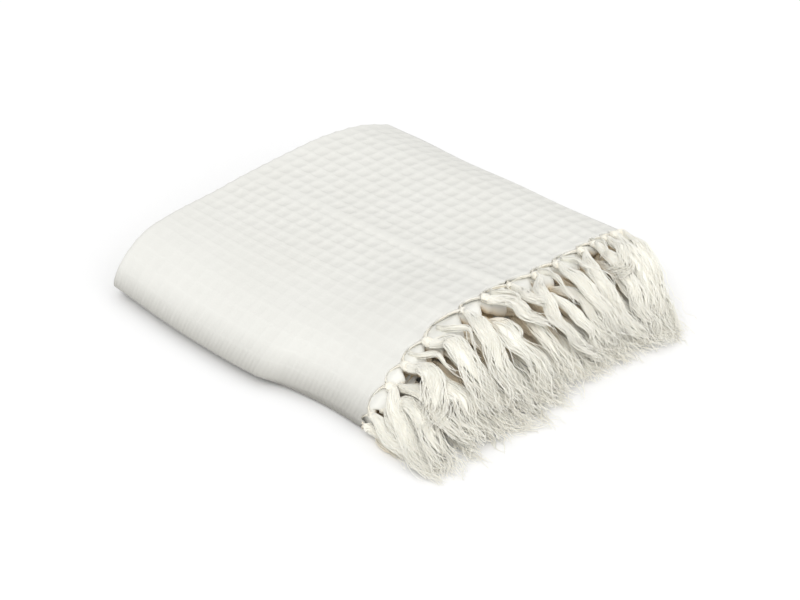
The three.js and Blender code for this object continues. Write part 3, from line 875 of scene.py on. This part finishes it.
def tassel_parts(tassel):
    """The parts of one tassel as points and faces, each with the name of its tones."""
    shown = tassel["shown"]
    is_wisp = "wisp" in tassel
    kind = WISP_LOCK if is_wisp else SHOWN_LOCK if shown else HIDDEN_LOCK
    lock = Lock(tassel)
    taper = 1 - YARN_TAPER * np.linspace(0, 1, kind.points) ** 2
    yield lock_core(lock, kind), "core"
    yield tubes(lock_yarns(lock, kind), YARN_RADIUS * taper), "shown" if shown else "hidden"
    if not is_wisp:
        middle = knot_middle(tassel)
        scale = rng.uniform(*KNOT.scale)
        yield tubes(gather_yarns(tassel), YARN_RADIUS * GATHER.thick), "gather"
        wraps = knot_yarns(middle, kind.wraps, scale)
        yield tubes(wraps, scale * KNOT.yarn, WRAP.sides), "wrap"
        yield tubes(*knot_core(middle, scale), KNOT_CORE.sides), "knot"


def tan_shade_share(points):
    """How much painted tan shade the yarns get: those deep in the heap, near the knots."""
    x, y, z = points.T
    sunk = smoothstep(heap_height(x, y) - z, *TAN_SHADE.depth)
    return TAN_SHADE.most * sunk * (1 - smoothstep(x, *TAN_SHADE.fade))


def fringe_mesh(fringe, shown):
    """The yarns of one fringe, shown or deep, as points and faces, with a tone for each yarn and painted tan
    shade deep in the heap.
    """
    points, faces, tones = [], [], []
    start = 0
    for tassel in (one for one in tassels if one["fringe"] == fringe and one["shown"] == shown):
        for (part_points, part_faces), part in tassel_parts(tassel):
            faces.extend(face for block in part_faces for face in (block + start).tolist())
            points.append(part_points)
            start += len(part_points)
            strands = len(part_faces[1])
            tones.append(np.repeat(rng.uniform(*TONES[part], strands), len(part_points) // strands))
    points = np.concatenate(points)
    # painted tan shade lowers the tone of yarns deep in the heap
    return points, faces, {"tone": np.concatenate(tones) * (1 - tan_shade_share(points))}


# Materials
CLOTH_TONES = ((0.735, 0.731, 0.687), (0.775, 0.772, 0.734))
SHADE_COLOUR = (0.30, 0.29, 0.26)
# the tan of the painted warm shade under the lobes
WARM_SHADE_COLOUR = (0.86, 0.71, 0.49)
# painted light that makes the lobes at the fringed edge whiter
LOBE_LIGHT_COLOUR = (0.87, 0.865, 0.815)
# the tan end also serves the painted shade of the fringe
FRINGE_TONES = ((0.88, 0.72, 0.48), (0.955, 0.945, 0.868))
FLOOR_TONES = ((0.93, 0.93, 0.93), (0.95, 0.95, 0.95))
MATT = {"Specular IOR Level": 0.2, "Sheen Roughness": 0.6}
CLOTH_LOOK = {"Roughness": 0.92, "Sheen Weight": 0.15}
FRINGE_LOOK = {"Roughness": 0.9, "Sheen Weight": 0.4}
FLOOR_LOOK = {"Roughness": 0.8, "Sheen Weight": 0}
FLOOR_CLOUD = {"Scale": 3, "Detail": 2}
# Textures, with scales per metre
CLOUD = {"Scale": 14, "Detail": 4}
FUZZ = {"Scale": 900, "Detail": 3}
FIBRE = {"Scale": 700, "Detail": 3}
YARN_WAVES = (("X", 110, 0.2), ("Y", 100, 0.08))  # direction, scale and height
RIB_WAVE = ("X", 67)
RIB_HEIGHT = {1: 3, 2: 0.1}  # a factor on the shade, and a sum
YARN_TEXTURE = {"Distortion": 1.2, "Detail": 1}
FIBRE_TONE = {1: 0.3, 2: -0.15}  # the same on the fibre's noise
CLOTH_BUMP = {"Strength": 0.5, "Distance": 0.0003}
FRINGE_BUMP = {"Strength": 0.4, "Distance": 0.0004}
COLOUR_SOCKETS = (6, 7)  # of a node that mixes colours


def new_material(name, colour, look):
    material = bpy.data.materials.new(name)
    material.use_nodes = True
    shader = material.node_tree.nodes["Principled BSDF"]
    shader.inputs["Base Color"].default_value = (*colour, 1)
    for socket, value in (MATT | look).items():
        shader.inputs[socket].default_value = value
    return material, material.node_tree, shader


def add_node(tree, kind, inputs=None, **settings):
    """A node with its settings, and values or links for its inputs."""
    node = tree.nodes.new(kind)
    for name, value in settings.items():
        setattr(node, name, value)
    for name, value in (inputs or {}).items():
        if isinstance(value, bpy.types.NodeSocket):
            tree.links.new(value, node.inputs[name])
        else:
            node.inputs[name].default_value = value
    return node


def mix_colours(tree, factor, a, b):
    ends = {}
    for socket, value in zip(COLOUR_SOCKETS, (a, b)):
        ends[socket] = value if isinstance(value, bpy.types.NodeSocket) else (*value, 1)
    return add_node(tree, "ShaderNodeMix", {0: factor, **ends}, data_type="RGBA").outputs[2]


def compute(tree, operation, inputs):
    return add_node(tree, "ShaderNodeMath", inputs, operation=operation).outputs[0]


def point_value(tree, name):
    return add_node(tree, "ShaderNodeAttribute", attribute_name=name).outputs["Fac"]


def noise(tree, inputs):
    return add_node(tree, "ShaderNodeTexNoise", inputs).outputs["Fac"]


def bump(tree, shader, height, settings):
    node = add_node(tree, "ShaderNodeBump", {"Height": height, **settings})
    tree.links.new(node.outputs["Normal"], shader.inputs["Normal"])


def cloth_material():
    """Off-white cotton: fine crossed yarns, painted shade in the hollows and towards the floor, painted warm
    shade under the lobes, painted light on the lobes, and a slight unevenness of tone.
    """
    material, tree, shader = new_material("waffle_cotton", CLOTH_TONES[1], CLOTH_LOOK)
    weave = add_node(tree, "ShaderNodeUVMap", uv_map="weave").outputs["UV"]
    shade = point_value(tree, "shade")
    colour = mix_colours(tree, noise(tree, {"Vector": weave, **CLOUD}), *CLOTH_TONES)
    # painted light on the lobes, by the attribute plain
    colour = mix_colours(tree, point_value(tree, "plain"), colour, LOBE_LIGHT_COLOUR)
    # painted warm shade under the outer lobes
    colour = mix_colours(tree, point_value(tree, "warm_shade"), colour, WARM_SHADE_COLOUR)
    # painted shade in the hollows and towards the floor
    colour = mix_colours(tree, shade, colour, SHADE_COLOUR)
    tree.links.new(colour, shader.inputs["Base Color"])
    height = noise(tree, {"Vector": weave, **FUZZ})
    ribs = compute(tree, "MULTIPLY_ADD", {0: shade, **RIB_HEIGHT})
    for direction, scale, share in (*YARN_WAVES, (*RIB_WAVE, ribs)):
        inputs = {"Vector": weave, "Scale": scale, **YARN_TEXTURE}
        wave = add_node(tree, "ShaderNodeTexWave", inputs, bands_direction=direction).outputs["Fac"]
        height = compute(tree, "ADD", {0: height, 1: compute(tree, "MULTIPLY", {0: wave, 1: share})})
    bump(tree, shader, height, CLOTH_BUMP)
    return material


def fringe_material():
    """Loosely twisted cotton yarn, a little creamier than the cloth, each yarn with its own tone and painted
    tan shade deep in the heap.
    """
    material, tree, shader = new_material("fringe_cotton", FRINGE_TONES[1], FRINGE_LOOK)
    place = add_node(tree, "ShaderNodeTexCoord").outputs["Object"]
    fibre = noise(tree, {"Vector": place, **FIBRE})
    uneven = compute(tree, "MULTIPLY_ADD", {0: fibre, **FIBRE_TONE})
    # the tone carries each yarn's own tone and the painted tan shade
    tone = compute(tree, "ADD", {0: point_value(tree, "tone"), 1: uneven})
    tree.links.new(mix_colours(tree, tone, *FRINGE_TONES), shader.inputs["Base Color"])
    bump(tree, shader, fibre, FRINGE_BUMP)
    return material


def floor_material():
    material, tree, shader = new_material("pale_floor", FLOOR_TONES[0], FLOOR_LOOK)
    tone = mix_colours(tree, noise(tree, FLOOR_CLOUD), *FLOOR_TONES)
    tree.links.new(tone, shader.inputs["Base Color"])
    return material


# Pieces
def add_mesh(name, points, faces, material):
    mesh = bpy.data.meshes.new(name)
    mesh.from_pydata((points * MM + np.array(ORIGIN)).tolist(), [], faces)
    mesh.polygons.foreach_set("use_smooth", np.ones(len(mesh.polygons), bool))
    mesh.materials.append(material)
    piece = bpy.data.objects.new(name, mesh)
    bpy.context.scene.collection.objects.link(piece)
    return piece


def add_piece(name, points, faces, tints, material, node, slot):
    """A piece that rides on the part's one body, with the tints of its points."""
    piece = add_mesh(name, points, faces, material)
    for tint, values in tints.items():
        piece.data.attributes.new(tint, "FLOAT", "POINT").data.foreach_set("value", values)
    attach(piece, "root")
    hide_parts(node)
    return piece


def add_cloth():
    points, faces, weave, tints = cloth_mesh()
    piece = add_piece("waffle_cloth", points, faces, tints, cloth_material(), "throw_cloth", "cloth")
    corners = np.empty(len(piece.data.loops), int)
    piece.data.loops.foreach_get("vertex_index", corners)
    piece.data.uv_layers.new(name="weave").data.foreach_set("uv", (weave[corners] * MM).ravel())
    return piece


tassels = lay_out_tassels()
cloth = add_cloth()
cotton_yarn = fringe_material()
for fringe, side in enumerate(("outer", "inner")):
    for shown, ending in ((True, ""), (False, "_deep")):
        mesh = fringe_mesh(fringe, shown)
        add_piece(f"tassels_{side}{ending}", *mesh, cotton_yarn, f"fringe_{side}", "fringe")

# Stage, light and camera, in metres
FLOOR_HALF = 4
CAMERA_PLACE = (0.8793, -0.9247, 0.8353)
CAMERA_AZIMUTH = radians(44.06)
CAMERA_ELEVATION = radians(33)
CAMERA_LENS = 76.5  # this and the sensor's width are millimetres
CAMERA_SENSOR = 36
SUN_DISTANCE = 3
SUNS = ((20, 55, 0.87, 30), (75, 22, 1.52, 100))  # azimuth, elevation, strength and softness, in degrees
WORLD = Values(overhead=0.77, level=0.5)  # the light's strength overhead and at the horizon


def from_angles(azimuth, elevation):
    """The direction towards a viewer or a lamp, with azimuth 0 in front of the spine."""
    level = cos(elevation)
    return Vector((sin(azimuth) * level, -cos(azimuth) * level, sin(elevation)))


def add_looking(name, data, place, back):
    """A camera or a lamp that looks against the direction back."""
    thing = bpy.data.objects.new(name, data)
    thing.location = place
    thing.rotation_euler = (-back).to_track_quat("-Z", "Y").to_euler()
    bpy.context.scene.collection.objects.link(thing)
    return thing


def add_floor():
    half = FLOOR_HALF / MM
    corners = np.array([(-half, -half, 0), (half, -half, 0), (half, half, 0), (-half, half, 0)])
    add_mesh("floor", corners, [[0, 1, 2, 3]], floor_material())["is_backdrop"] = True


def add_suns():
    for azimuth, elevation, strength, softness in SUNS:
        light = bpy.data.lights.new("sun", "SUN")
        light.energy = strength
        light.angle = radians(softness)
        back = from_angles(radians(azimuth), radians(elevation))
        add_looking("sun", light, back * SUN_DISTANCE, back)


def set_world():
    world = bpy.data.worlds.new("studio")
    world.use_nodes = True
    tree = world.node_tree
    towards = add_node(tree, "ShaderNodeTexCoord").outputs["Generated"]
    height = add_node(tree, "ShaderNodeSeparateXYZ", {0: towards}).outputs["Z"]
    ends = {"To Min": WORLD.level, "To Max": WORLD.overhead}
    strength = add_node(tree, "ShaderNodeMapRange", {"Value": height, **ends}).outputs[0]
    tree.links.new(strength, tree.nodes["Background"].inputs["Strength"])
    tree.nodes["Background"].inputs["Color"].default_value = (1, 1, 1, 1)
    bpy.context.scene.world = world


def add_camera():
    data = bpy.data.cameras.new("camera")
    data.lens = CAMERA_LENS
    data.sensor_width = CAMERA_SENSOR
    data.sensor_fit = "HORIZONTAL"
    back = from_angles(CAMERA_AZIMUTH, CAMERA_ELEVATION)
    bpy.context.scene.camera = add_looking("camera", data, CAMERA_PLACE, back)


add_floor()
add_suns()
set_world()
add_camera()
bpy.context.scene.view_settings.view_transform = "Standard"

visual_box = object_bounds()
boxes = {"cad": cad_box, "visual": visual_box}
{name: [list(corner) for corner in box] for name, box in boxes.items()}
